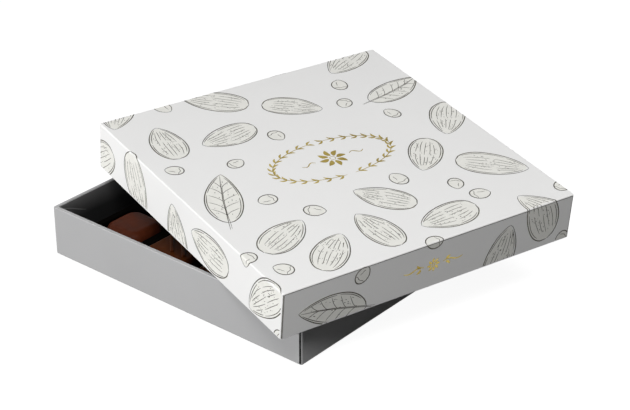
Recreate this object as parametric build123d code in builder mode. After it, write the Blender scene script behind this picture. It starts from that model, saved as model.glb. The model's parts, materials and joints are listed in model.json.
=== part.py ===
"""A rigid two-piece chocolate box: a wrapped greyboard base with its insert and
sixteen chocolates, and a wrapped greyboard lid that lies askew across the base's rim.

Millimetres, +Z up. The origin is the centre of the underside of the base.
-Y is the front wall of the base, -X its left wall."""

from build123d import *
from math import atan, degrees, sqrt
import os

os.makedirs("parts", exist_ok=True)

# Driving dimensions of the box
base_side = 180.0
base_height = 29.5
lid_height = 27.5
lid_clearance = 0.75

# Board and paper
board_thickness = 1.5
paper_thickness = 0.25
stay_thickness = 0.12
glue_film = 0.02

# Folds and trims of the paper
corner_radius = 1.2
fold_radius = 0.8
rim_radius = 0.35
base_turn_in = 16.0
lid_turn_in = 18.0
base_turn_under = 15.0
bottom_sheet_inset = 3.0
liner_reveal = 0.5
ceiling_sheet_inset = 2.0
stay_reach = 14.0
stay_trim = 1.5

# How the lid lies on the base: leaned about X, leaned about Y, turned about its own axis
lid_lean_about_x = 5.5
lid_lean_about_y = -1.6
lid_turn = -15.9
lid_shift_x = 7.7
lid_shift_y = -27.6
lid_rest_gap = 0.3

# Insert: a flat border round a raised middle that has a pocket for each chocolate
insert_thickness = 0.5
insert_depth = 15.25
insert_clearance = 0.5
insert_corner_radius = 4.0
pocket_clearance = 0.4
pocket_draft = 1.2
pocket_corner_radius = 4.2
row_land_width = 5.8
row_border = 15.99
column_border = 9.99
raised_margin = 4.0
raised_corner_radius = 8.0

# Height that all chocolates share
chocolate_height = 17.25

# Domed chocolate
dome_corner_share = 0.3
dome_crown_share = 0.18
dome_draft_angle = 3.0

# Flat slab with three stripes across it
slab_corner_radius = 2.6
slab_edge_radius = 1.7
stripe_width = 2.2
stripe_height = 0.9
stripe_pitch = 6.0
stripe_edge_radius = 0.7
stripe_margin = 3.5

# Round chocolate with a button on top
round_foot_height = 2.2
round_shoulder_inset = 1.2
round_shoulder_height = 10.5
round_top_radius = 5.5
button_radius = 4.2
button_rise = 1.6
button_edge_radius = 1.2

# Stepped praline
step_corner_radius = 3.0
step_slope_inset = 3.5
step_top_corner_radius = 2.4
step_height = 13.5
step_ledge_width = 4.0
step_edge_radius = 0.9

# Kinds of chocolate from the back row to the front row, each row from left to right:
# d is domed, s a flat slab, r round, p a stepped praline
chocolate_rows = ("drsp", "spdr", "srpd", "dprs")
row_letters = "abcd"

# Sizes that follow from those above
wall_before_board = paper_thickness + stay_thickness + 2 * glue_film
wall_thickness = wall_before_board + board_thickness + paper_thickness
lid_side = base_side + 2 * (lid_clearance + wall_thickness)
base_tray = Plane.XY.offset(paper_thickness)
base_tray_height = base_height - paper_thickness
board_floor = 2 * paper_thickness + board_thickness
liner_side = base_side - 2 * wall_thickness
liner_mouth = liner_side - 2 * paper_thickness
insert_floor = board_floor + paper_thickness
insert_side = liner_mouth - 2 * insert_clearance
land_level = insert_floor + insert_depth
chocolate_seat = insert_floor + insert_thickness
pocket_depth = insert_depth - insert_thickness
row_count = len(chocolate_rows)
column_count = len(chocolate_rows[0])
pocket_rows_depth = insert_side - 2 * row_border - (row_count - 1) * row_land_width
pocket_mouth = pocket_rows_depth / row_count
pocket_taper = degrees(atan(pocket_draft / pocket_depth))
row_pitch = pocket_mouth + row_land_width
column_pitch = (insert_side - 2 * column_border - pocket_mouth) / (column_count - 1)
raised_length = insert_side - 2 * (column_border - raised_margin)
raised_width = insert_side - 2 * (row_border - raised_margin)
chocolate_side = pocket_mouth - 2 * (pocket_clearance + pocket_draft)


def block(plane, side, corner, low, high, low_fold=0, high_fold=0):
    """A square block between two heights over the plane, with rounded corners and folds."""
    along = Axis(plane.origin, plane.z_dir)
    with BuildPart() as form:
        with BuildSketch(plane.offset(low)):
            RectangleRounded(side, side, corner)
        extrude(amount=high - low)
        if low_fold:
            fillet(form.faces().sort_by(along)[0].edges(), low_fold)
        if high_fold:
            fillet(form.faces().sort_by(along)[-1].edges(), high_fold)
    return form.part


def write(part, name):
    """Label one sub-part and write it to its own file."""
    part.label = name
    export_step(part, f"parts/{name}.step")


def tray_boards(plane, side, height):
    """The greyboards of a tray: its flat, then the walls at -X, +X, -Y and +Y of the plane."""
    board_side = side - 2 * wall_before_board
    inside = board_side - 2 * board_thickness
    wall_place = (board_side - board_thickness) / 2
    wall_height = height - 2 * paper_thickness
    outside = block(
        plane, board_side, corner_radius - wall_before_board,
        paper_thickness, height - paper_thickness, low_fold=fold_radius - paper_thickness,
    )
    outlines = (
        (0, 0, inside, inside, board_thickness),
        (-wall_place, 0, board_thickness, inside, wall_height),
        (wall_place, 0, board_thickness, inside, wall_height),
        (0, -wall_place, board_side, board_thickness, wall_height),
        (0, wall_place, board_side, board_thickness, wall_height),
    )
    boards = []
    for x, y, length, width, rise in outlines:
        with BuildPart() as board:
            with BuildSketch(plane.offset(paper_thickness)):
                with Locations((x, y)):
                    Rectangle(length, width)
            extrude(amount=rise)
            add(outside, mode=Mode.INTERSECT)
        boards.append(board.part)
    return boards


def paper_wrap(plane, side, height, turn_in):
    """The paper around the board: closed face, four skirts, rim and the turn-in behind it."""
    inside_board = side - 2 * (wall_before_board + board_thickness)
    outside = block(plane, side, corner_radius, 0, height, low_fold=fold_radius, high_fold=rim_radius)
    board_space = block(
        plane, side - 2 * paper_thickness, corner_radius - paper_thickness,
        paper_thickness, height - paper_thickness,
        low_fold=fold_radius - paper_thickness,
    )
    with BuildPart() as turned_in:
        with BuildSketch(plane.offset(height - turn_in)):
            Rectangle(inside_board, inside_board)
        extrude(amount=turn_in - paper_thickness / 2)
    with BuildPart() as wrap:
        add(outside)
        add(board_space, mode=Mode.SUBTRACT)
        add(turned_in.part)
        with BuildSketch(plane.offset(paper_thickness)):
            Rectangle(inside_board - 2 * paper_thickness, inside_board - 2 * paper_thickness)
        extrude(amount=height, mode=Mode.SUBTRACT)
    return wrap.part


def corner_stays(plane, side, height):
    """Four thin strips glued round the corners of the board, under the wrap."""
    outside = side - 2 * (paper_thickness + glue_film)
    inside = outside - 2 * stay_thickness
    low = fold_radius + stay_trim
    outside_radius = corner_radius - paper_thickness - glue_film
    with BuildPart() as stays:
        with BuildSketch(plane.offset(low)):
            RectangleRounded(outside, outside, outside_radius)
            RectangleRounded(inside, inside, outside_radius - stay_thickness, mode=Mode.SUBTRACT)
            Rectangle(side, side - 2 * stay_reach, mode=Mode.SUBTRACT)
            Rectangle(side - 2 * stay_reach, side, mode=Mode.SUBTRACT)
        extrude(amount=height - low - stay_trim)
    return stays.part


def plan_crossing(a, b, c, d):
    """Height of the line from a to b where it passes over the line from c to d, if it does."""
    run, base_run, gap = b - a, d - c, c - a
    turn = run.X * base_run.Y - run.Y * base_run.X
    along = (gap.X * base_run.Y - gap.Y * base_run.X) / turn
    across = (gap.X * run.Y - gap.Y * run.X) / turn
    crosses = 0 <= along <= 1 and 0 <= across <= 1
    return a.Z + along * run.Z if crosses else None


def square_edges(plane, side):
    """The four edges of a square centred in the plane, as pairs of points."""
    corners = [
        plane.from_local_coords(Vector(x * side / 2, y * side / 2))
        for x, y in ((-1, -1), (1, -1), (1, 1), (-1, 1))
    ]
    return list(zip(corners, corners[1:] + corners[:1]))


def lid_plane_at(height):
    """The plane of the lid's open edge, its normal pointing to the lid's top."""
    lean = (lid_lean_about_x, lid_lean_about_y, lid_turn)
    return Plane(Location((lid_shift_x, lid_shift_y, height), lean))


def lid_resting_height():
    """Height of the centre of the lid's open edge that leaves the rest gap over the rim."""
    lid_squares = (lid_side, lid_side - 2 * wall_thickness)
    rim_squares = (base_side, liner_side)
    heights = [
        plan_crossing(*lid_edge, *rim_edge)
        for lid_square in lid_squares
        for lid_edge in square_edges(lid_plane_at(0), lid_square)
        for rim_square in rim_squares
        for rim_edge in square_edges(Plane.XY, rim_square)
    ]
    return base_height + lid_rest_gap - min(h for h in heights if h is not None)


lid_open = lid_plane_at(lid_resting_height())
lid_tray = Plane(
    origin=lid_open.offset(lid_height).origin, x_dir=lid_open.x_dir, z_dir=-lid_open.z_dir
)


# Base: boards, stays, wrap, bottom sheet and the black lining
base_boards = tray_boards(base_tray, base_side, base_tray_height)
for board, place in zip(base_boards, ("floor", "left", "right", "front", "back")):
    write(board, f"base_{place}_board")
base_stays = corner_stays(base_tray, base_side, base_tray_height)
write(base_stays, "base_corner_stays")

base_wrap_closed = paper_wrap(base_tray, base_side, base_tray_height, base_turn_in)
with BuildPart() as base_wrap:
    add(base_wrap_closed)
    with BuildSketch(base_tray):
        Rectangle(base_side - 2 * base_turn_under, base_side - 2 * base_turn_under)
    extrude(amount=paper_thickness, mode=Mode.SUBTRACT)
write(base_wrap.part, "base_wrap")

with BuildPart() as base_bottom_sheet:
    with BuildSketch():
        bottom_sheet_side = base_side - 2 * bottom_sheet_inset
        RectangleRounded(bottom_sheet_side, bottom_sheet_side, corner_radius)
    extrude(amount=paper_thickness)
write(base_bottom_sheet.part, "base_bottom_sheet")

with BuildPart() as base_wall_liner:
    with BuildSketch(Plane.XY.offset(board_floor)):
        Rectangle(liner_side, liner_side)
        Rectangle(liner_mouth, liner_mouth, mode=Mode.SUBTRACT)
    extrude(amount=base_height - liner_reveal - board_floor)
write(base_wall_liner.part, "base_wall_liner")

with BuildPart() as base_floor_liner:
    with BuildSketch(Plane.XY.offset(board_floor)):
        Rectangle(liner_mouth, liner_mouth)
    extrude(amount=paper_thickness)
write(base_floor_liner.part, "base_floor_liner")


# Insert: one formed sheet that lies flat along the walls and rises to the pockets' mouths


def raised_block(inset, height):
    """The raised middle of the insert, smaller by an inset all round and drawn in upwards."""
    foot = 2 * (pocket_draft - inset)
    with BuildPart() as raised:
        with BuildSketch(Plane.XY.offset(insert_floor)):
            RectangleRounded(raised_length + foot, raised_width + foot, raised_corner_radius - inset)
        extrude(amount=height, taper=pocket_taper)
    return raised


raised_outside = raised_block(0, insert_depth)
with raised_outside:
    fillet(raised_outside.faces().sort_by(Axis.Z)[-1].edges(), insert_thickness)
raised_hollow = raised_block(insert_thickness, pocket_depth)
with BuildPart() as chocolate_insert:
    with BuildSketch(Plane.XY.offset(insert_floor)):
        RectangleRounded(insert_side, insert_side, insert_corner_radius)
    extrude(amount=insert_thickness)
    add(raised_outside.part)
    add(raised_hollow.part, mode=Mode.SUBTRACT)
    with BuildSketch(Plane.XY.offset(land_level)):
        with GridLocations(column_pitch, row_pitch, column_count, row_count):
            pocket_outside = pocket_mouth + 2 * insert_thickness
            RectangleRounded(pocket_outside, pocket_outside, pocket_corner_radius + insert_thickness)
    extrude(amount=-insert_depth, taper=pocket_taper)
    with BuildSketch(Plane.XY.offset(land_level)):
        with GridLocations(column_pitch, row_pitch, column_count, row_count):
            RectangleRounded(pocket_mouth, pocket_mouth, pocket_corner_radius)
    extrude(amount=-pocket_depth, taper=pocket_taper, mode=Mode.SUBTRACT)
write(chocolate_insert.part, "chocolate_insert")


def domed_chocolate(seat):
    """A soft square with drawn-in sides and a rounded crown."""
    with BuildPart() as chocolate:
        with BuildSketch(seat):
            RectangleRounded(chocolate_side, chocolate_side, dome_corner_share * chocolate_side)
        extrude(amount=chocolate_height, taper=dome_draft_angle)
        fillet(chocolate.edges().group_by(Axis.Z)[-1], dome_crown_share * chocolate_side)
    return chocolate.part


def slab_chocolate(seat):
    """A flat square of filling dipped in chocolate, with three stripes laid across it."""
    slab_height = chocolate_height - stripe_height
    diagonal = (chocolate_side - 2 * slab_edge_radius) * sqrt(2)
    stripes = Plane(
        origin=seat.offset(slab_height).origin, x_dir=seat.x_dir + seat.y_dir, z_dir=seat.z_dir
    )
    with BuildPart() as chocolate:
        with BuildSketch(seat):
            RectangleRounded(chocolate_side, chocolate_side, slab_corner_radius)
        extrude(amount=slab_height)
        fillet(chocolate.edges().group_by(Axis.Z)[-1], slab_edge_radius)
        with BuildSketch(stripes):
            for place in (-1, 0, 1):
                length = diagonal - 2 * (abs(place) * stripe_pitch + stripe_margin)
                with Locations((0, place * stripe_pitch)):
                    SlotOverall(length, stripe_width)
        extrude(amount=stripe_height)
        fillet(chocolate.edges().group_by(Axis.Z)[-1], stripe_edge_radius)
    return chocolate.part


def round_chocolate(seat):
    """A round praline with a foot, a curved shoulder and a small button on top."""
    body_height = chocolate_height - button_rise
    upright = Plane(origin=seat.origin, x_dir=seat.x_dir, z_dir=-seat.y_dir)
    foot = (chocolate_side / 2, round_foot_height)
    shoulder = (chocolate_side / 2 - round_shoulder_inset, round_shoulder_height)
    top = (round_top_radius, body_height)
    with BuildPart() as chocolate:
        with BuildSketch(upright):
            with BuildLine():
                Polyline((0, body_height), (0, 0), (chocolate_side / 2, 0), foot, shoulder)
                TangentArc(shoulder, top, tangent=(0, 1))
                Line(top, (0, body_height))
            make_face()
        revolve(axis=Axis(seat.origin, seat.z_dir))
        with BuildSketch(seat.offset(body_height)):
            Circle(button_radius)
        extrude(amount=button_rise)
        fillet(chocolate.edges().group_by(Axis.Z)[-1], button_edge_radius)
    return chocolate.part


def stepped_chocolate(seat):
    """A praline whose sides slope in to a flat top that carries a smaller square."""
    top_side = chocolate_side - 2 * step_slope_inset
    button_side = top_side - 2 * step_ledge_width
    with BuildPart() as chocolate:
        with BuildSketch(seat):
            RectangleRounded(chocolate_side, chocolate_side, step_corner_radius)
        with BuildSketch(seat.offset(step_height)):
            RectangleRounded(top_side, top_side, step_top_corner_radius)
        loft()
        fillet(chocolate.edges().group_by(Axis.Z)[-1], step_edge_radius)
        with BuildSketch(seat.offset(step_height)):
            RectangleRounded(button_side, button_side, step_top_corner_radius)
        extrude(amount=chocolate_height - step_height)
        fillet(chocolate.edges().group_by(Axis.Z)[-1], step_edge_radius)
    return chocolate.part


# Chocolates, one node each, named by row letter from the back and place from the left
chocolate_makers = {
    "d": domed_chocolate,
    "s": slab_chocolate,
    "r": round_chocolate,
    "p": stepped_chocolate,
}
middle_row = (row_count - 1) / 2
middle_column = (column_count - 1) / 2
for row, kinds in enumerate(chocolate_rows):
    for column, kind in enumerate(kinds):
        x = (column - middle_column) * column_pitch
        y = (middle_row - row) * row_pitch
        chocolate = chocolate_makers[kind](Plane(origin=(x, y, chocolate_seat)))
        write(chocolate, f"chocolate_{row_letters[row]}{column + 1}")


# Lid: the same build as the base, upside down, with a sheet inside its top
lid_boards = tray_boards(lid_tray, lid_side, lid_height)
for board, place in zip(lid_boards, ("top", "left", "right", "back", "front")):
    write(board, f"lid_{place}_board")
lid_stays = corner_stays(lid_tray, lid_side, lid_height)
write(lid_stays, "lid_corner_stays")
lid_wrap = paper_wrap(lid_tray, lid_side, lid_height, lid_turn_in)
write(lid_wrap, "lid_wrap")

with BuildPart() as lid_ceiling_sheet:
    with BuildSketch(lid_tray.offset(paper_thickness + board_thickness)):
        ceiling_sheet_side = lid_side - 2 * (wall_thickness + ceiling_sheet_inset)
        Rectangle(ceiling_sheet_side, ceiling_sheet_side)
    extrude(amount=paper_thickness)
write(lid_ceiling_sheet.part, "lid_ceiling_sheet")
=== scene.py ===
"""Finishes, print, light and camera for a two-piece chocolate box, in metres."""

import json
import math
import random

import bpy
from mathutils import Matrix, Vector


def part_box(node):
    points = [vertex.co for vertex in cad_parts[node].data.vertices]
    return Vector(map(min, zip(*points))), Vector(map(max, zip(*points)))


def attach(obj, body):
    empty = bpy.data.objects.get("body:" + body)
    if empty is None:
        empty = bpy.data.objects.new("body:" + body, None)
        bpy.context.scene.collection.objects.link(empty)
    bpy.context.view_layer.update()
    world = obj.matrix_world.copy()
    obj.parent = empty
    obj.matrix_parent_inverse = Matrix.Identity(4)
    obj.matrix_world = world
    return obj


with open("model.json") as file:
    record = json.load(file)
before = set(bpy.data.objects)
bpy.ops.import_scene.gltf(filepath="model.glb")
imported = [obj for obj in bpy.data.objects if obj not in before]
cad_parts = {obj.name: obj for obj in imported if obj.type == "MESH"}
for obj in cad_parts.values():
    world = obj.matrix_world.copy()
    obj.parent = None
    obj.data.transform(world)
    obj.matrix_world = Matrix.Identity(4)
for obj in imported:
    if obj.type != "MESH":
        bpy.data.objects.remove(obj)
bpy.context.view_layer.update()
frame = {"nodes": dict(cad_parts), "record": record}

mm = 0.001

# Radii of the papers' folds and corners, and the margin free of print at the lid's open edge
fold_radius = 0.8 * mm
corner_radius = 1.2 * mm
skirt_margin = 0.5 * mm

# How high tint, ink, foil and painted fold shade lie over the papers, and how thick each of them is
tint_lift = 0.012 * mm
ink_lift = 0.024 * mm
foil_lift = 0.03 * mm
fold_shade_lift = 0.036 * mm
print_thickness = 0.008 * mm

# Camera of the photograph, solved on a frame of 630 by 410 pixels
photo_width_px = 630
focal_length_px = 1812
camera_azimuth = math.radians(-50.08)
camera_elevation = math.radians(28.04)
camera_distance = 1.0653
camera_target = Vector((0.04704, 0.01586, 0))
sensor_width_mm = 36
nearest_seen = 0.05
farthest_seen = 50


def make_camera():
    """The camera at the photograph's viewing angle."""
    back = Vector((
        math.sin(camera_azimuth) * math.cos(camera_elevation),
        -math.cos(camera_azimuth) * math.cos(camera_elevation),
        math.sin(camera_elevation),
    ))
    data = bpy.data.cameras.new("camera")
    data.sensor_width = sensor_width_mm
    data.lens = focal_length_px / photo_width_px * sensor_width_mm
    data.clip_start = nearest_seen
    data.clip_end = farthest_seen
    camera = bpy.data.objects.new("camera", data)
    bpy.context.scene.collection.objects.link(camera)
    camera.location = camera_target + back * camera_distance
    camera.rotation_euler = (-back).to_track_quat("-Z", "Y").to_euler()
    bpy.context.scene.camera = camera


# Node helpers


class Nodes:
    """The node tree of one material or world, with short calls for the nodes it uses."""

    def __init__(self, tree):
        self.tree = tree
        tree.nodes.clear()

    def new(self, kind, inputs=None, **settings):
        """A node with its settings, and its inputs by name or number, each a value or a socket."""
        node = self.tree.nodes.new(kind)
        for name, value in settings.items():
            setattr(node, name, value)
        for name, value in (inputs or {}).items():
            if isinstance(value, bpy.types.NodeSocket):
                self.tree.links.new(value, node.inputs[name])
            else:
                node.inputs[name].default_value = value
        return node

    def math(self, operation, *values):
        return self.new("ShaderNodeMath", dict(enumerate(values)), operation=operation).outputs[0]

    def ramp(self, value, low, high, out_low=0.0, out_high=1.0):
        """A value mapped from low..high to out_low..out_high, and held at the ends."""
        inputs = {
            "Value": value, "From Min": low, "From Max": high,
            "To Min": out_low, "To Max": out_high,
        }
        return self.new("ShaderNodeMapRange", inputs).outputs["Result"]

    def noise(self, vector, scale, detail=3.0, roughness=0.5, distortion=0.0):
        inputs = {
            "Vector": vector, "Scale": scale, "Detail": detail,
            "Roughness": roughness, "Distortion": distortion,
        }
        return self.new("ShaderNodeTexNoise", inputs).outputs["Fac"]

    def mix(self, factor, a, b):
        """Two colours mixed: inputs 6 and 7 and output 2 are the mix node's sockets for colour."""
        return self.new("ShaderNodeMix", {0: factor, 6: a, 7: b}, data_type="RGBA").outputs[2]

    def bump(self, height, distance):
        inputs = {"Height": height, "Distance": distance, "Strength": 1.0}
        return self.new("ShaderNodeBump", inputs).outputs["Normal"]

    def place(self):
        return self.new("ShaderNodeTexCoord").outputs["Object"]

    def height(self, place):
        return self.new("ShaderNodeSeparateXYZ", {"Vector": place}).outputs["Z"]

    def principled(self, inputs):
        """Ends the tree in a principled shader."""
        self.finish(self.new("ShaderNodeBsdfPrincipled", inputs).outputs["BSDF"])

    def seen(self, hidden, shown):
        """One shader for rays that light the object, another for rays that show the background."""
        path = self.new("ShaderNodeLightPath")
        seen = self.math("MAXIMUM", path.outputs["Is Camera Ray"], path.outputs["Is Glossy Ray"])
        seen = self.math("MAXIMUM", seen, path.outputs["Is Transmission Ray"])
        shaders = {1: hidden.outputs[0], 2: shown.outputs[0]}
        return self.new("ShaderNodeMixShader", {0: seen, **shaders}).outputs[0]

    def finish(self, shader, kind="ShaderNodeOutputMaterial"):
        self.new(kind, {"Surface": shader})


def colour(red, green, blue):
    return (red, green, blue, 1.0)


def shade(tint, factor):
    """The same tint, lighter or darker."""
    return colour(*(min(1.0, channel * factor) for channel in tint[:3]))


def new_material(name):
    material = bpy.data.materials.new(name)
    material.use_nodes = True
    return material, Nodes(material.node_tree)


# Paper, board, plastic and chocolate

paper_tooth = 0.01 * mm

# How far down the base's rim is rubbed, and over what height that begins
rubbed_depth = 0.6 * mm
rubbed_blend = 0.4 * mm

# Heights at which the black lining's painted shade is darkest, down among the chocolates, and palest
lining_painted_shade_darkest = 17 * mm
lining_painted_shade_palest = 28 * mm


def paper_material(name, tint, roughness, mottle=0.03, gloss=0.15, rubbed_from=None, painted_shade_range=None):
    """Paper with faint clouding, fine fibres and a slight tooth.

    Its rim is rubbed paler from the height rubbed_from up, and shade is painted on it, darker from
    the upper to the lower height of painted_shade_range, where these are given."""
    material, nodes = new_material(name)
    place = nodes.place()
    clouds = nodes.noise(place, scale=28.0, detail=4.0)
    fibres = nodes.noise(place, scale=900.0, detail=5.0, roughness=0.65, distortion=0.6)
    clouded = nodes.mix(nodes.ramp(clouds, 0.3, 0.7), shade(tint, 1 - mottle), shade(tint, 1 + mottle))
    base = nodes.mix(nodes.ramp(fibres, 0.35, 0.75, 0.0, 0.25), clouded, shade(tint, 1 - 2.5 * mottle))
    if rubbed_from is not None:
        scuffs = nodes.noise(place, scale=220.0, detail=3.0)
        rubbed = nodes.math(
            "MULTIPLY",
            nodes.ramp(nodes.height(place), rubbed_from, rubbed_from + rubbed_blend),
            nodes.ramp(scuffs, 0.2, 0.6, 0.55, 1.0),
        )
        base = nodes.mix(rubbed, base, shade(tint, 1.12))
    if painted_shade_range is not None:
        # painted shade: the colour gets darker towards the lower height of painted_shade_range
        base = nodes.mix(nodes.ramp(nodes.height(place), *painted_shade_range), shade(tint, 0.25), base)
    inputs = {
        "Base Color": base,
        "Roughness": nodes.ramp(clouds, 0.3, 0.7, roughness - 0.04, roughness + 0.04),
        "Normal": nodes.bump(fibres, distance=paper_tooth),
        "Specular IOR Level": gloss,
    }
    nodes.principled(inputs)
    return material


def greyboard_material(name):
    """Recycled board: cloudy grey-brown with dark flecks."""
    material, nodes = new_material(name)
    place = nodes.place()
    flecks = nodes.noise(place, scale=1400.0, detail=6.0, roughness=0.8)
    layers = nodes.noise(place, scale=60.0, detail=3.0)
    base = nodes.mix(layers, colour(0.36, 0.33, 0.29), colour(0.46, 0.43, 0.38))
    base = nodes.mix(nodes.ramp(flecks, 0.62, 0.7), base, colour(0.16, 0.14, 0.12))
    normal = nodes.bump(flecks, distance=0.03 * mm)
    nodes.principled({"Base Color": base, "Roughness": 0.9, "Normal": normal})
    return material


def plastic_material(name, tint):
    """Thin formed sheet: a dull surface, slightly rippled from forming."""
    material, nodes = new_material(name)
    place = nodes.place()
    ripple = nodes.noise(place, scale=90.0, detail=2.0)
    grain = nodes.noise(place, scale=2200.0, detail=2.0)
    base = nodes.mix(nodes.ramp(ripple, 0.3, 0.7), tint, shade(tint, 1.3))
    height = nodes.math("ADD", nodes.math("MULTIPLY", ripple, 6.0), grain)
    inputs = {
        "Base Color": base,
        "Roughness": nodes.ramp(ripple, 0.3, 0.7, 0.5, 0.62),
        "Normal": nodes.bump(height, distance=0.012 * mm),
        "Specular IOR Level": 0.002,
    }
    nodes.principled(inputs)
    return material


def chocolate_material(name, tint, bloom):
    """Tempered chocolate: satin, with soft flow marks, faint bloom and fine pits."""
    material, nodes = new_material(name)
    place = nodes.place()
    flow = nodes.noise(place, scale=110.0, detail=4.0, distortion=1.2)
    dust = nodes.noise(place, scale=700.0, detail=5.0, roughness=0.7)
    pits = nodes.new("ShaderNodeTexVoronoi", {"Vector": place, "Scale": 420.0}).outputs["Distance"]
    base = nodes.mix(nodes.ramp(flow, 0.3, 0.7), shade(tint, 0.82), shade(tint, 1.18))
    base = nodes.mix(nodes.ramp(dust, 0.55, 0.8, 0.0, bloom), base, colour(0.3, 0.19, 0.13))
    height = nodes.math("ADD", nodes.math("MULTIPLY", flow, 3.0), nodes.ramp(pits, 0.0, 0.25))
    inputs = {
        "Base Color": base,
        "Roughness": nodes.ramp(flow, 0.3, 0.7, 0.4, 0.54),
        "Normal": nodes.bump(height, distance=0.05 * mm),
        "Specular IOR Level": 0.07,
        "Subsurface Weight": 0.05,
        "Subsurface Radius": (4 * mm, 1.5 * mm, 0.8 * mm),
        "Subsurface Scale": 0.3,
    }
    nodes.principled(inputs)
    return material


def ink_material(name, tint, spread=0.22):
    """Matt printing ink, uneven by a share of its tint."""
    material, nodes = new_material(name)
    clouds = nodes.noise(nodes.place(), scale=260.0, detail=4.0)
    base = nodes.mix(nodes.ramp(clouds, 0.3, 0.7), shade(tint, 1 - spread), shade(tint, 1 + spread))
    nodes.principled({"Base Color": base, "Roughness": 0.55, "Specular IOR Level": 0.3})
    return material


def foil_material(name):
    """Hot-stamped gold foil with a finely rippled surface."""
    material, nodes = new_material(name)
    place = nodes.place()
    ripple = nodes.noise(place, scale=500.0, detail=3.0)
    patches = nodes.noise(place, scale=60.0, detail=2.0)
    dull, bright = colour(0.29, 0.215, 0.042), colour(0.44, 0.34, 0.085)
    base = nodes.mix(nodes.ramp(patches, 0.35, 0.65), dull, bright)
    inputs = {
        "Base Color": base,
        "Metallic": 1.0,
        "Roughness": nodes.ramp(ripple, 0.3, 0.7, 0.26, 0.4),
        "Normal": nodes.bump(ripple, distance=0.02 * mm),
    }
    nodes.principled(inputs)
    return material


def dress_cad_nodes():
    """Gives every CAD node the material of its slot."""
    rim_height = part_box("base_wrap")[1].z
    by_slot = {
        "greyboard": greyboard_material("greyboard"),
        "stay_paper": paper_material(
            "stay_paper", colour(0.5, 0.38, 0.24), roughness=0.7, mottle=0.08
        ),
        "grey_paper": paper_material(
            "grey_paper", colour(0.43, 0.43, 0.434), roughness=0.5, mottle=0.015, gloss=0.05,
            rubbed_from=rim_height - rubbed_depth,
        ),
        # the black lining gets painted shade, darker towards the chocolates
        "black_paper": paper_material(
            "black_paper", colour(0.145, 0.145, 0.147), roughness=0.7, mottle=0.08, gloss=0.02,
            painted_shade_range=(lining_painted_shade_darkest, lining_painted_shade_palest),
        ),
        "black_tray": plastic_material("black_tray", colour(0.0034, 0.0028, 0.0023)),
        "white_paper": paper_material(
            "white_paper", colour(0.835, 0.832, 0.825), roughness=0.42, mottle=0.01, gloss=0.2
        ),
        "lid_lining": paper_material(
            "lid_lining", colour(0.8, 0.79, 0.77), roughness=0.7, mottle=0.02
        ),
        "milk_chocolate": chocolate_material(
            "milk_chocolate", colour(0.1, 0.0225, 0.0085), bloom=0.03
        ),
        "dark_chocolate": chocolate_material(
            "dark_chocolate", colour(0.095, 0.0245, 0.0055), bloom=0.02
        ),
    }
    for subpart in frame["record"]["subparts"]:
        data = frame["nodes"][subpart["node"]].data
        data.materials.clear()
        data.materials.append(by_slot[subpart["material_slot"]])


# The lid's own axes, read from the mesh of its wrap


def flat_side(node, towards):
    """Normal of the largest flat area of a CAD node that faces one way, and how far it lies out."""
    nearly_along = 0.9
    areas = {}
    for face in node.data.polygons:
        if face.normal.dot(towards) > nearly_along:
            key = tuple(round(part, 3) for part in face.normal)
            area, weighted = areas.get(key, (0.0, Vector()))
            areas[key] = (area + face.area, weighted + face.normal * face.area)
    normal = max(areas.values(), key=lambda found: found[0])[1].normalized()
    return normal, max(vertex.co.dot(normal) for vertex in node.data.vertices)


class Lid:
    """The lid's axes, its top centre, half its side and the height of its skirts."""

    def __init__(self):
        wrap = frame["nodes"]["lid_wrap"]
        self.up, top = flat_side(wrap, Vector((0, 0, 1)))
        self.back, back = flat_side(wrap, Vector((0, 1, 0)))
        self.right, right = flat_side(wrap, Vector((1, 0, 0)))
        left = -flat_side(wrap, Vector((-1, 0, 0)))[1]
        front = -flat_side(wrap, Vector((0, -1, 0)))[1]
        low = -flat_side(wrap, Vector((0, 0, -1)))[1]
        self.top = self.up * top + self.back * (back + front) / 2 + self.right * (right + left) / 2
        self.half = (right - left) / 2
        self.height = top - low

    def matrix(self):
        """Places a mesh that is drawn with the lid's top centre as its origin."""
        turn = Matrix((self.right, self.back, self.up)).transposed().to_4x4()
        return Matrix.Translation(self.top) @ turn


lid = Lid()

# Sizes of the lid's paper as it lies unfolded, from the middle of its top
flat_half = lid.half - fold_radius
fold_length = fold_radius * math.pi / 2
skirt_end = flat_half + fold_length + lid.height - fold_radius - skirt_margin
skirt_half = lid.half - corner_radius
front_skirt_middle = -(lid.half + lid.height / 2)


def over_fold(distance):
    """Past the flat of the top: how far out and how high a point lies, and its normal's parts."""
    past = distance - flat_half
    if past < fold_length:
        turn = past / fold_radius
        return (
            flat_half + fold_radius * math.sin(turn),
            fold_radius * (math.cos(turn) - 1),
            math.sin(turn),
            math.cos(turn),
        )
    return lid.half, -fold_radius - (past - fold_length), 1.0, 0.0


def on_lid(across, along):
    """A point of the lid's unfolded paper as (place, normal) on the folded lid, or None off it."""
    if max(abs(across), abs(along)) <= flat_half:
        return Vector((across, along, 0)), Vector((0, 0, 1))
    if abs(across) <= skirt_half and flat_half < abs(along) <= skirt_end:
        out, height, lean, rise = over_fold(abs(along))
        side = math.copysign(1, along)
        return Vector((across, side * out, height)), Vector((0, side * lean, rise))
    if abs(along) <= skirt_half and flat_half < abs(across) <= skirt_end:
        out, height, lean, rise = over_fold(abs(across))
        side = math.copysign(1, across)
        return Vector((side * out, along, height)), Vector((side * lean, 0, rise))
    return None


# Strokes of ink and foil

# Widths of the ink's lines, and how narrow a line gets at its ends, as a share of its width
outline_width = 0.62 * mm
inner_width = 0.42 * mm
hair_width = 0.32 * mm
narrowest = 0.25

# Steps between a line's points: fine near a fold or over a long stretch, and coarse elsewhere
fine_step = 0.12 * mm
coarse_step = 0.8 * mm
long_stretch = 3 * mm
fold_margin = 1 * mm


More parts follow.
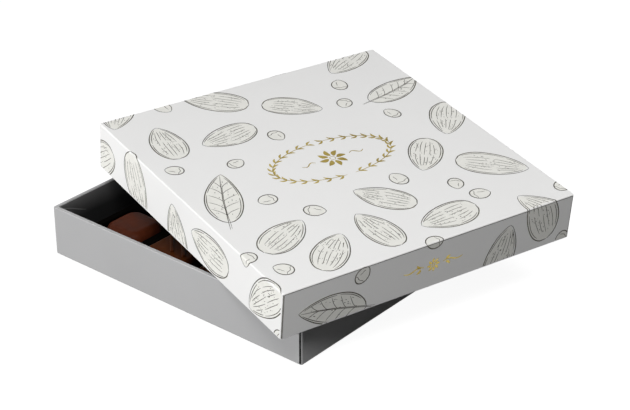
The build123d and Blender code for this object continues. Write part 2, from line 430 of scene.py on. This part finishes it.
def thin_piece(name, points, faces, material, slot, body, place=Matrix()):
    """A closed sheet of the print's thickness on one body, from the faces of its middle."""
    mesh = bpy.data.meshes.new(name)
    mesh.from_pydata([tuple(point) for point in points], [], faces)
    mesh.transform(place)
    mesh.materials.append(material)
    piece = bpy.data.objects.new(name, mesh)
    bpy.context.scene.collection.objects.link(piece)
    thick = piece.modifiers.new("thickness", "SOLIDIFY")
    thick.thickness = print_thickness
    thick.offset = 0
    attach(piece, body)


def quads(first, rows, columns):
    """Faces between rows of points that are numbered from first, a row of columns at a time."""
    return [
        (corner, corner + 1, corner + columns + 1, corner + columns)
        for row in range(rows - 1)
        for corner in range(first + row * columns, first + (row + 1) * columns - 1)
    ]


def near_fold(point):
    return any(flat_half - fold_margin < abs(part) < lid.half + 2 * fold_margin for part in point)


def refine(line):
    """The line with points close together where it may run over a fold."""
    fine = [line[0]]
    for a, b in zip(line, line[1:]):
        length = math.dist(a, b)
        step = fine_step if near_fold(a) or near_fold(b) or length > long_stretch else coarse_step
        count = max(1, math.ceil(length / step))
        for place in range(1, count + 1):
            share = place / count
            fine.append((a[0] + (b[0] - a[0]) * share, a[1] + (b[1] - a[1]) * share))
    return fine


class Sheet:
    """Thin printed shapes on the lid, gathered into one mesh."""

    def __init__(self, name, slot, material, lift):
        self.name, self.slot, self.material, self.lift = name, slot, material, lift
        self.points = []
        self.faces = []

    def stroke(self, line, width, taper):
        """A ribbon along a line of the unfolded paper, narrower over a share taper at each end."""
        fine = refine(line)
        run = []
        for number, point in enumerate(fine):
            found = on_lid(*point)
            if found is None:
                self.ribbon(run, width, taper, len(fine))
                run = []
            else:
                run.append((number, *found))
        self.ribbon(run, width, taper, len(fine))

    def ribbon(self, run, width, taper, count):
        """An unbroken run of a line of count points, each given as its number, place and normal."""
        if len(run) < 2:
            return
        first = len(self.points)
        for place, (number, point, normal) in enumerate(run):
            before = run[max(place - 1, 0)][1]
            after = run[min(place + 1, len(run) - 1)][1]
            side = (after - before).cross(normal).normalized()
            share = number / (count - 1)
            grown = min(1.0, min(share, 1 - share) / taper) if taper else 1.0
            half = width / 2 * (narrowest + (1 - narrowest) * math.sqrt(grown))
            middle = point + normal * self.lift
            self.points += [middle - side * half, middle + side * half]
        self.faces += quads(first, len(run), 2)

    def add(self, across, along):
        """The number of a new point over the folded paper, or None where the lid has no paper."""
        found = on_lid(across, along)
        if found is None:
            return None
        place, normal = found
        self.points.append(place + normal * self.lift)
        return len(self.points) - 1

    def patch(self, rows):
        """A filled shape given as rows of points of the unfolded paper, all of one length."""
        numbers = [[self.add(*point) for point in row] for row in rows]
        for near, far in zip(numbers, numbers[1:]):
            for corners in zip(near, near[1:], far[1:], far):
                if None not in corners:
                    self.faces.append(corners)

    def build(self):
        thin_piece(self.name, self.points, self.faces, self.material, self.slot, "lid", lid.matrix())


class Motif:
    """A drawing placed on the unfolded paper: its own x runs along it, from base to tip."""

    def __init__(self, across, along, turn, size, seed):
        self.across, self.along, self.size = across, along, size
        self.cos, self.sin = math.cos(turn), math.sin(turn)
        self.random = random.Random(seed)

    def at(self, x, y):
        x, y = x * self.size, y * self.size
        return (self.across + x * self.cos - y * self.sin, self.along + x * self.sin + y * self.cos)

    def wobble(self, amount):
        """A slow drift from side to side, as of a hand-drawn line."""
        phases = [self.random.uniform(0, 2 * math.pi) for _ in range(3)]
        return lambda share: sum(
            amount / (place + 1) * math.sin((5 + 6 * place) * share + phase)
            for place, phase in enumerate(phases)
        )

    def line(self, sheet, curve, width, start=0.0, end=1.0, wobble=0.12 * mm, count=22, taper=0.25):
        """Draws a curve, which is a function of a share of it, from the share start to end."""
        drift_x, drift_y = self.wobble(wobble), self.wobble(wobble)
        points = []
        for place in range(count + 1):
            share = start + (end - start) * place / count
            x, y = curve(share)
            points.append(self.at(x + drift_x(share), y + drift_y(share)))
        sheet.stroke(points, width, taper)


def pointed_width(share, base, tip):
    """Half width of a pointed oval, 1 at its widest; base and tip say how pointed its ends are."""
    if share <= 0 or share >= 1:
        return 0.0
    peak = base / (base + tip)
    return (share / peak) ** base * ((1 - share) / (1 - peak)) ** tip


def fill_oval(sheet, motif, place, half_width, shift, rows=46, columns=18):
    """Fills a pointed oval but for its ends, a little out of register with its outline."""
    left_out = 0.02
    grid = []
    for row in range(rows + 1):
        share = left_out + (1 - 2 * left_out) * row / rows
        width = half_width(share)
        points = []
        for column in range(columns + 1):
            across = 2 * column / columns - 1
            x, y = place(share, across * width)
            points.append(motif.at(x + shift[0], y + shift[1]))
        grid.append(points)
    sheet.patch(grid)


def grain(place, half_width, fraction, inside=0.0):
    """The curve along a motif at a fraction of its half width, or of that less some way inside."""
    return lambda share: place(share, fraction * (half_width(share) - inside))


def draw_outline(ink, motif, place, half_width, gap):
    """Two lines along each side of a pointed oval: a whole one, and a broken one a gap inside."""
    for side in (-1, 1):
        motif.line(ink, grain(place, half_width, side), outline_width, count=34)
        start = motif.random.uniform(0.06, 0.16)
        pause = motif.random.uniform(0.45, 0.65)
        inner = grain(place, half_width, side, inside=gap)
        for low, high in ((start, pause), (pause + 0.04, 0.93)):
            motif.line(ink, inner, inner_width, low, high, count=16)


def draw_pits(ink, motif, place, half_width, count):
    """Short strokes along the grain, strewn over a pointed oval."""
    for _ in range(count):
        start = motif.random.uniform(0.14, 0.84)
        fraction = motif.random.uniform(-0.72, 0.72)
        end = start + motif.random.uniform(0.012, 0.035)
        curve = grain(place, half_width, fraction)
        motif.line(ink, curve, hair_width, start, end, count=3, wobble=0.08 * mm)


def bent(length, bend):
    """Gives a bent motif's point at a share of its length and an offset to the side."""
    return lambda share, offset: (
        (share - 0.5) * length, bend * math.sin(math.pi * share) + offset
    )


def draw_leaf(ink, tint, motif):
    """A broad leaf with a midrib, side veins and a short stem."""
    length, width = 46 * mm, 9.8 * mm
    place = bent(length, motif.random.uniform(-2.6, 2.6) * mm)

    def half_width(share):
        return width * pointed_width(share, 0.62, 0.85)

    fill_oval(tint, motif, place, half_width, shift=(0.5 * mm, -0.5 * mm))
    draw_outline(ink, motif, place, half_width, gap=1.1 * mm)
    motif.line(ink, lambda share: place(share, 0.25 * mm), inner_width, -0.14, 0.97, count=30)
    motif.line(ink, lambda share: place(share, -0.4 * mm), hair_width, -0.13, 0.8, count=24)
    veins = 5
    for number in range(veins):
        root = 0.14 + 0.14 * number + motif.random.uniform(-0.01, 0.01)
        tip = root + 0.15
        for side in (-1, 1):

            def vein(share):
                out = side * half_width(tip) * 0.8 * share ** 1.35
                return place(root + (tip - root) * share ** 0.8, out)

            motif.line(ink, vein, hair_width, 0.02, count=9, wobble=0.06 * mm)
    draw_pits(ink, motif, place, half_width, count=26)


def draw_almond(ink, tint, motif):
    """An almond in its shell: a rounded teardrop with a few broken lines and pits."""
    length, width = 38 * mm, 10.4 * mm
    place = bent(length, motif.random.uniform(-1.2, 1.2) * mm)

    def half_width(share):
        return width * pointed_width(share, 0.5, 0.72)

    fill_oval(tint, motif, place, half_width, shift=(-0.4 * mm, 0.5 * mm))
    draw_outline(ink, motif, place, half_width, gap=1.25 * mm)
    for fraction in (-0.58, -0.32, -0.05, 0.22, 0.5):
        start = motif.random.uniform(0.1, 0.2)
        pause = motif.random.uniform(0.4, 0.6)
        curve = grain(place, half_width, fraction)
        for low, high in ((start, pause), (pause + 0.06, motif.random.uniform(0.8, 0.9))):
            motif.line(ink, curve, hair_width, low, high, count=14, wobble=0.22 * mm)
    draw_pits(ink, motif, place, half_width, count=44)


def draw_hazelnut(ink, tint, motif):
    """A small nut with a slight point, a line for its cap and a short one along its side."""
    radius = 5.3 * mm
    flatness = 0.86

    def rim(share):
        turn = 2 * math.pi * share
        point = 1 + 0.12 * max(0.0, math.cos(turn)) ** 8
        return radius * point * math.cos(turn), radius * flatness * math.sin(turn)

    def cap(share):
        wave = 0.4 * mm * math.sin(3 * math.pi * share)
        return -0.5 * radius + wave, radius * 0.74 * (2 * share - 1)

    def side_line(share):
        return radius * (0.8 * share - 0.1), 0.3 * radius * (1 - 0.4 * share)

    def place(share, offset):
        return (2 * share - 1) * radius, offset

    def half_width(share):
        return flatness * radius * math.sqrt(max(0.0, 1 - (2 * share - 1) ** 2))

    fill_oval(tint, motif, place, half_width, shift=(0.3 * mm, 0.2 * mm), rows=30, columns=16)
    motif.line(ink, rim, outline_width, 0.0, 1.02, count=48)
    motif.line(ink, cap, hair_width, count=20)
    motif.line(ink, side_line, hair_width, count=8)


def draw_vanilla(ink, tint, motif):
    """A slender vanilla pod, a little curved, with a hooked stalk."""
    length, width = 33 * mm, 0.95 * mm

    def place(share, offset):
        sway = 2.2 * mm * math.sin(2.2 * share + 0.5)
        hook = 2.6 * mm * max(0.0, share - 0.8) * 5 * share
        return (share - 0.5) * length, sway + hook - 2 * mm + offset

    def half_width(share):
        return width * pointed_width(share, 0.35, 0.5)

    fill_oval(tint, motif, place, half_width, shift=(0.1 * mm, 0.1 * mm), rows=30, columns=4)
    for side in (-1, 1):
        edge = grain(place, half_width, side)
        motif.line(ink, edge, inner_width, count=30, wobble=0.06 * mm)
    middle = grain(place, half_width, 0)
    motif.line(ink, middle, hair_width, 0.2, 0.75, count=16, wobble=0.06 * mm)


# Where the motifs go

# Half the length and width of what stays free for foil: an oval on the top, a band on the skirt
top_free = (46 * mm, 27 * mm)
skirt_free = (30 * mm, 9 * mm)

# Each kind's drawing, and the length and width of the room that it takes
motif_kinds = {
    "leaf": (draw_leaf, 52 * mm, 20 * mm),
    "almond": (draw_almond, 38 * mm, 21 * mm),
    "hazelnut": (draw_hazelnut, 11 * mm, 11 * mm),
    "vanilla": (draw_vanilla, 33 * mm, 6 * mm),
}

scatter_seed = 11

# Each round's kinds, which take turns, its number of tries and the least gap between motifs
scatter_rounds = (
    (("leaf", "almond", "almond"), 3000, 5.0 * mm),
    (("vanilla", "hazelnut", "hazelnut"), 160, 4.0 * mm),
    (("hazelnut",), 160, 4.0 * mm),
)


def spine(across, along, turn, length, width):
    """Points along the middle of a motif, which stand for it when gaps are measured."""
    reach = max(0.0, length - width) / 2
    return [
        (across + share * reach * math.cos(turn), along + share * reach * math.sin(turn))
        for share in (-1, -0.5, 0, 0.5, 1)
    ]


def is_free(points, half, gap, taken):
    """Whether a motif, half wide to each side of its points, is clear of the foil and the others."""
    for across, along in points:
        if (across / (top_free[0] + half)) ** 2 + (along / (top_free[1] + half)) ** 2 < 1:
            return False
        away = abs(along - front_skirt_middle)
        if abs(across) < skirt_free[0] + half and away < skirt_free[1] + half:
            return False
    return all(
        math.dist(a, b) >= half + other_half + gap
        for other, other_half in taken
        for a in points
        for b in other
    )


def scatter_motifs(ink, tint):
    """Scatters the motifs over top and skirts, clear of each other and of the foil."""
    chance = random.Random(scatter_seed)
    reach = lid.half + lid.height
    taken = []
    for kinds, tries, gap in scatter_rounds:
        for attempt in range(tries):
            draw, length, width = motif_kinds[kinds[attempt % len(kinds)]]
            size = chance.uniform(0.9, 1.06)
            across, along = chance.uniform(-reach, reach), chance.uniform(-reach, reach)
            turn = chance.uniform(0, 2 * math.pi)
            if min(abs(across), abs(along)) > lid.half:
                continue
            points = spine(across, along, turn, length * size, width * size)
            half = width * size / 2
            if is_free(points, half, gap, taken):
                taken.append((points, half))
                draw(ink, tint, Motif(across, along, turn, size, seed=len(taken)))


# Foil ornament


def foil_leaf(foil, motif, x0, y0, lean, length, width):
    """A small solid leaf, slightly bent, that starts at a point and leans by an angle."""
    steps = 12
    rows = []
    for step in range(steps + 1):
        share = step / steps
        half = width / 2 * pointed_width(min(max(share, 0.01), 0.99), 0.7, 0.9)
        x = length * share
        points = []
        for across in (-1, -0.5, 0, 0.5, 1):
            y = across * half + 0.12 * length * math.sin(math.pi * share)
            points.append(motif.at(
                x0 + x * math.cos(lean) - y * math.sin(lean),
                y0 + x * math.sin(lean) + y * math.cos(lean),
            ))
        rows.append(points)
    foil.patch(rows)


def foil_rosette(foil, motif, radius):
    """Petals round a small ring, at the motif's own middle."""
    petals = 8
    start, ring = 0.3 * radius, 0.19 * radius
    for petal in range(petals):
        lean = 2 * math.pi * petal / petals
        x, y = start * math.cos(lean), start * math.sin(lean)
        foil_leaf(foil, motif, x, y, lean, length=0.7 * radius, width=0.34 * radius)

    def round_ring(share):
        turn = 2 * math.pi * share
        return ring * math.cos(turn), ring * math.sin(turn)

    motif.line(foil, round_ring, 0.3 * mm, wobble=0, count=24, taper=0)


def foil_flourish(foil, motif, side, start, length, swing, width):
    """A line with one wave to one side of the rosette, narrowing towards both ends."""

    def wave(share):
        return side * (start + length * share), swing * math.sin(2 * math.pi * share)

    motif.line(foil, wave, width, wobble=0, count=24, taper=0.5)


def foil_wreath(foil):
    """An oval wreath of small leaves round a rosette, in the middle of the lid."""
    motif = Motif(0, 0, turn=0, size=1.0, seed=1)
    wide, high = 37 * mm, 18 * mm
    leaves = 15
    for side in (-1, 1):

        def on_oval(turn):
            return side * wide * math.cos(turn), high * math.sin(turn)

        for number in range(leaves):
            turn = math.radians(-82 + 164 * number / (leaves - 1))
            tangent = math.atan2(high * math.cos(turn), -side * wide * math.sin(turn))
            for lean in (-0.55, 0.55):
                foil_leaf(
                    foil, motif, *on_oval(turn), tangent + lean, length=4.6 * mm, width=1.3 * mm
                )
        motif.line(
            foil, lambda share: on_oval(math.radians(-86 + 170 * share)), 0.45 * mm,
            wobble=0, count=60, taper=0.05,
        )
    foil_rosette(foil, motif, radius=8.5 * mm)
    for side in (-1, 1):
        foil_flourish(
            foil, motif, side, start=11 * mm, length=9 * mm, swing=1.3 * mm, width=0.7 * mm
        )


def foil_band(foil):
    """A small rosette between two flourishes with leaves, on the front skirt."""
    motif = Motif(0, front_skirt_middle, turn=0, size=1.0, seed=2)
    foil_rosette(foil, motif, radius=4.2 * mm)
    for side in (-1, 1):
        foil_flourish(
            foil, motif, side, start=6 * mm, length=13 * mm, swing=0.9 * mm, width=0.8 * mm
        )
        for end in (1, -1):
            x, y = side * 8 * mm, end * 0.4 * mm
            lean = math.radians(end * (90 - side * 50))
            foil_leaf(foil, motif, x, y, lean, length=3.6 * mm, width=1.5 * mm)


def print_lid():
    """The tint, the ink and the foil on the lid's paper."""
    ink_look = ink_material("print_ink", colour(0.05, 0.045, 0.034))
    tint_look = ink_material("print_tint", colour(0.8, 0.793, 0.75), spread=0.03)
    ink = Sheet("lid_print_lines", "print_ink", ink_look, ink_lift)
    tint = Sheet("lid_print_tint", "print_tint", tint_look, tint_lift)
    foil = Sheet("lid_foil", "gold_foil", foil_material("gold_foil"), foil_lift)
    scatter_motifs(ink, tint)
    foil_wreath(foil)
    foil_band(foil)
    for sheet in (tint, ink, foil):
        sheet.build()


# Paper joins and folds, with painted shade lines

# Middle of a paper's join, past the start of the corner's curve, its width and the rim it leaves; the
# joins are dark lines that partly paint shade
join_shade_middle = 0.2 * mm
join_shade_width = 1.25 * mm
join_shade_rim = 1 * mm
lid_join_shade_middle = 0.55 * mm
lid_join_shade_width = 0.85 * mm

# Middle of the painted shade line under the lid's fold, below the end of the fold's curve, and its
# width
fold_shade_drop = 0.1 * mm
fold_shade_width = 0.4 * mm

# The black paper's thickness, and its creases, which start under its upper edge
lining_thickness = 0.25 * mm
crease_start = 1 * mm
crease_length = 20 * mm
crease_drop = 8 * mm
crease_wave = 0.3 * mm
crease_width = 0.7 * mm


def uneven_strip(at, start, end, width, seed, columns=4):
    """Points and faces of a strip of uneven width; at gives a point for its way across and along."""
    chance = random.Random(seed)
    steps = 24
    points = []
    for step in range(steps + 1):
        along = start + (end - start) * step / steps
        spread = width * chance.uniform(0.88, 1.0)
        points += [at(spread * (column / columns - 0.5), along) for column in range(columns + 1)]
    return points, quads(0, steps + 1, columns + 1)


def gather(strips):
    """Several strips as one list of points and one of faces."""
    points, faces = [], []
    for strip_points, strip_faces in strips:
        first = len(points)
        points += strip_points
        faces += [tuple(first + number for number in face) for face in strip_faces]
    return points, faces


def corner_strip(place, half, middle, width, low, high, seed):
    """A strip up a rounded corner, its middle some way past the start of the corner's curve.

    place makes a point of the distance out from a wall, the distance along it and the height."""
    centre = half - corner_radius
    reach = corner_radius + ink_lift

    def at(across, z):
        past = middle + across
        turn = max(0.0, past) / corner_radius
        out = centre + reach * math.cos(turn)
        return place(out, centre + min(0.0, past) + reach * math.sin(turn), z)

    return uneven_strip(at, low, high, width, seed)


def base_corner_joins_and_shade(material):
    """Open joins of the grey paper, near-black with painted shade: on the left wall in front, on the
    right wall at the back.
    """
    low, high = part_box("base_wrap")
    strips = [
        corner_strip(
            lambda out, along, z: Vector((side * out, side * along, z)),
            high.x, join_shade_middle, join_shade_width, low.z + fold_radius, high.z - join_shade_rim, seed=2 + side,
        )
        for side in (-1, 1)
    ]
    thin_piece("base_corner_joins_and_shade", *gather(strips), material, "join_line", "base")


def lid_corner_joins_and_shade(material):
    """The folded edges of the white paper, where a corner's curve meets the front or back skirt, as
    grey lines of painted shade.
    """
    low, high = skirt_margin - lid.height, -fold_radius
    strips = [
        corner_strip(
            lambda out, along, z: Vector((side * along, end * out, z)),
            lid.half, lid_join_shade_middle, lid_join_shade_width, low, high, seed=3 + side + 4 * end,
        )
        for side in (-1, 1)
        for end in (-1, 1)
    ]
    points, faces = gather(strips)
    thin_piece("lid_corner_joins_and_shade", points, faces, material, "lid_join_line", "lid", lid.matrix())


def lid_fold_shade_lines(material):
    """A painted shade line under the fold, where the white paper turns down in front and at the back.
    """
    out = lid.half + fold_shade_lift
    middle = -fold_radius - fold_shade_drop
    strips = [
        uneven_strip(
            lambda across, along: Vector((-end * along, end * out, middle + across)),
            -skirt_half, skirt_half, fold_shade_width, seed=6 + end, columns=1,
        )
        for end in (-1, 1)
    ]
    points, faces = gather(strips)
    thin_piece("lid_fold_shade_lines", points, faces, material, "lid_join_line", "lid", lid.matrix())


def crease(corner, side, end):
    """Points and faces of one fold of the black paper, on the front or back wall."""
    y = end * (corner.y - lining_thickness - tint_lift)
    steps = 16
    points = []
    for step in range(steps + 1):
        share = step / steps
        half = crease_width / 2 * math.sin(math.pi * (0.08 + 0.84 * share))
        x = side * (corner.x - lining_thickness - crease_length * share)
        z = corner.z - crease_start - crease_drop * share + crease_wave * math.sin(5 * share)
        points += [Vector((x, y, z - half)), Vector((x, y, z + half))]
    return points, quads(0, steps + 1, 2)


def lining_creases(material):
    """The folds of the black paper, slanting down the front and back walls from each corner."""
    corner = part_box("base_wall_liner")[1]
    creases = [crease(corner, side, end) for side in (-1, 1) for end in (-1, 1)]
    thin_piece("lining_creases", *gather(creases), material, "crease_line", "base")


def line_joins_and_shade():
    """Joins and folds of the papers as dark lines of painted shade, and creases of the lining."""
    # dark lines that paint shade: near-black in the base's joins, grey in the lid's corners and under
    # its folds
    join_and_shade_look = paper_material("join_line", colour(0.012, 0.012, 0.012), roughness=0.8, mottle=0.1)
    fold_shade_look = paper_material("lid_join_line", colour(0.2, 0.195, 0.185), roughness=0.7, mottle=0.1)
    crease_look = paper_material("crease_line", colour(0.24, 0.24, 0.24), roughness=0.7, mottle=0.1)
    base_corner_joins_and_shade(join_and_shade_look)
    lid_corner_joins_and_shade(fold_shade_look)
    lid_fold_shade_lines(fold_shade_look)
    lining_creases(crease_look)


# Stage and light


def make_floor():
    """A pale floor that keeps the object's shadow."""
    reach = 8.0
    corners = [(-reach, -reach, 0), (reach, -reach, 0), (reach, reach, 0), (-reach, reach, 0)]
    mesh = bpy.data.meshes.new("floor")
    mesh.from_pydata(corners, [], [(0, 1, 2, 3)])
    floor = bpy.data.objects.new("floor", mesh)
    bpy.context.scene.collection.objects.link(floor)
    material, nodes = new_material("floor")
    hidden = nodes.new("ShaderNodeBsdfDiffuse", {"Color": colour(0.05, 0.05, 0.05)})
    matt = nodes.new("ShaderNodeBsdfDiffuse", {"Color": colour(0.16, 0.16, 0.16)})
    glow = nodes.new("ShaderNodeEmission", {"Color": colour(1, 1, 1), "Strength": 0.93})
    shown = nodes.new("ShaderNodeAddShader", {0: matt.outputs[0], 1: glow.outputs[0]})
    nodes.finish(nodes.seen(hidden, shown))
    mesh.materials.append(material)


def make_world():
    """Faint light from all round, seen as white."""
    world = bpy.data.worlds.new("world")
    bpy.context.scene.world = world
    world.use_nodes = True
    nodes = Nodes(world.node_tree)
    hidden = nodes.new("ShaderNodeBackground", {"Color": colour(1, 1, 1), "Strength": 0.015})
    shown = nodes.new("ShaderNodeBackground", {"Color": colour(1, 1, 1), "Strength": 1.0})
    nodes.finish(nodes.seen(hidden, shown), "ShaderNodeOutputWorld")


# Each lamp's direction in degrees from +X towards +Y, its elevation in degrees, its distance,
# its side and its power in watts
lamps = {
    "left_lamp": (182, 12, 1.1, 0.44, 7.7),
    "high_left_lamp": (205, 55, 1.0, 0.4, 4.2),
    "back_left_lamp": (120, 12, 0.6, 0.24, 1.0),
    "right_lamp": (312, 50, 1.4, 0.56, 9.0),
}
lit_point = Vector((0, 0, 30 * mm))


def make_lamps():
    """Square soft lamps: two at the left, a small one behind and one at the right."""
    for name, (direction, elevation, distance, side, power) in lamps.items():
        turn, rise = math.radians(direction), math.radians(elevation)
        towards_lamp = Vector((
            math.cos(turn) * math.cos(rise), math.sin(turn) * math.cos(rise), math.sin(rise)
        ))
        data = bpy.data.lights.new(name, "AREA")
        data.shape = "SQUARE"
        data.size = side
        data.energy = power
        lamp = bpy.data.objects.new(name, data)
        bpy.context.scene.collection.objects.link(lamp)
        lamp.location = lit_point + towards_lamp * distance
        lamp.rotation_euler = towards_lamp.to_track_quat("Z", "Y").to_euler()


make_camera()
dress_cad_nodes()
print_lid()
line_joins_and_shade()
make_floor()
make_world()
make_lamps()
bpy.context.scene.view_settings.view_transform = "Standard"
